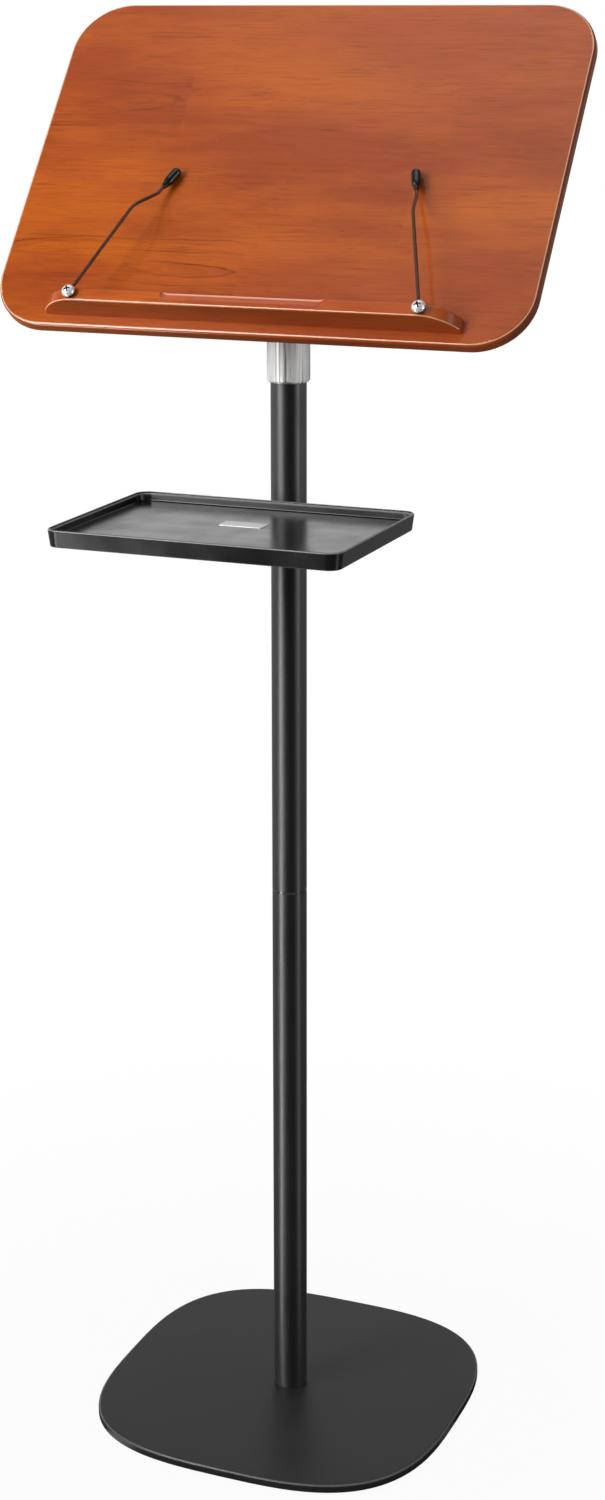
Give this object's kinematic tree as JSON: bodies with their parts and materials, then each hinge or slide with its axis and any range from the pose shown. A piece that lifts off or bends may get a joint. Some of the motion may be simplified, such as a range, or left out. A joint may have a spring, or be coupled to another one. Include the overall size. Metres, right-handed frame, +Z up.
{
  "type": "lectern",
  "caption": "Free-standing lectern with a flat weighted base, a telescopic pole, a tilting wooden desk with a book ledge and page holders, and a clamp-on side tray.",
  "frame": {"origin": "on the pole axis at floor level, in the plane of the undersides of the rubber feet", "axes": "+Z up along the pole, +X to the reader's right, +Y away from the reader; the desk and the tray face -Y"},
  "size_m": [0.49, 0.389, 1.3069],
  "materials": {
    "base_black": "matte black powder coat",
    "pole_black": "satin black powder coat",
    "bracket_black": "satin black powder coat",
    "wire_black": "dark bronze-black lacquer",
    "zinc_steel": "zinc plated",
    "collar_metal": "bright machined with straight knurling",
    "mast_steel": "satin plated tube",
    "screw_chrome": "polished",
    "brass": "machined",
    "rubber": "matte black",
    "black_plastic": "fine textured moulding",
    "tray_black": "satin moulding",
    "nylon": "natural white",
    "board_wood": "cherry stain under semi-gloss lacquer",
    "ledge_wood": "cherry stain under semi-gloss lacquer",
    "badge_metal": "bare satin plate"
  },
  "bodies": {
    "stand": {"base_plate": "base_black", "base_feet": "rubber", "base_bolt": "zinc_steel", "base_washer": "zinc_steel", "foot_plug": "zinc_steel", "lower_tube": "pole_black", "joiner_socket": "zinc_steel", "joiner_stud": "zinc_steel", "upper_tube": "pole_black", "lock_sleeve": "zinc_steel", "lock_collet": "nylon"},
    "collar": {"lock_collar": "collar_metal"},
    "glide": {"mast_glide": "nylon"},
    "mast": {"mast_plug": "black_plastic", "mast_tube": "mast_steel", "tilt_head": "bracket_black"},
    "desk": {"desk_bracket": "bracket_black", "bracket_screws": "zinc_steel", "tilt_bolt": "zinc_steel", "tilt_washers": "nylon", "knob_washer": "zinc_steel", "desk_board": "board_wood", "book_ledge": "ledge_wood", "ledge_screws": "zinc_steel", "arm_inserts": "brass", "arm_screw_left": "screw_chrome", "arm_screw_right": "screw_chrome"},
    "desk_knob": {"tilt_knob": "black_plastic", "tilt_nut": "brass"},
    "left_holder": {"page_arm_left": "wire_black", "arm_tip_left": "rubber"},
    "right_holder": {"page_arm_right": "wire_black", "arm_tip_right": "rubber"},
    "tray_slider": {"tray_liner": "black_plastic"},
    "side_tray": {"tray_bracket": "bracket_black", "tray": "tray_black", "tray_badge": "badge_metal", "tray_screws": "zinc_steel"},
    "clamp_knob": {"tray_knob": "black_plastic", "tray_stud": "zinc_steel"}
  },
  "joints": [
    {"name": "collar_turn", "type": "hinge", "parent": "stand", "child": "collar", "pos_m": [0, 0, 1.02], "axis": [0, 0, 1], "range_deg": [0, 180]},
    {"name": "height_slide", "type": "slide", "parent": "stand", "child": "glide", "axis": [0, 0, 1], "range_m": [-0.035, 0.28]},
    {"name": "mast_swivel", "type": "hinge", "parent": "glide", "child": "mast", "pos_m": [0, 0, 1], "axis": [0, 0, 1], "continuous": true},
    {"name": "desk_tilt", "type": "hinge", "parent": "mast", "child": "desk", "pos_m": [0, 0, 1.1015], "axis": [1, 0, 0], "range_deg": [-52, 28]},
    {"name": "tilt_knob_turn", "type": "hinge", "parent": "desk", "child": "desk_knob", "pos_m": [0.03, 0, 1.1015], "axis": [1, 0, 0], "range_deg": [0, 360]},
    {"name": "left_holder_swing", "type": "hinge", "parent": "desk", "child": "left_holder", "pos_m": [-0.158, -0.1067, 1.07161], "axis": [0, 0.788, -0.6157], "range_deg": [-52, 58]},
    {"name": "right_holder_swing", "type": "hinge", "parent": "desk", "child": "right_holder", "pos_m": [0.158, -0.1067, 1.07161], "axis": [0, -0.788, 0.6157], "range_deg": [-46, 64]},
    {"name": "tray_slide", "type": "slide", "parent": "stand", "child": "tray_slider", "axis": [0, 0, 1], "range_m": [-0.8, 0.05]},
    {"name": "tray_swivel", "type": "hinge", "parent": "tray_slider", "child": "side_tray", "pos_m": [0, 0, 0.859], "axis": [0, 0, 1], "continuous": true},
    {"name": "tray_knob_turn", "type": "hinge", "parent": "side_tray", "child": "clamp_knob", "pos_m": [0, 0.04, 0.857], "axis": [0, 1, 0], "range_deg": [0, 360]}
  ]
}
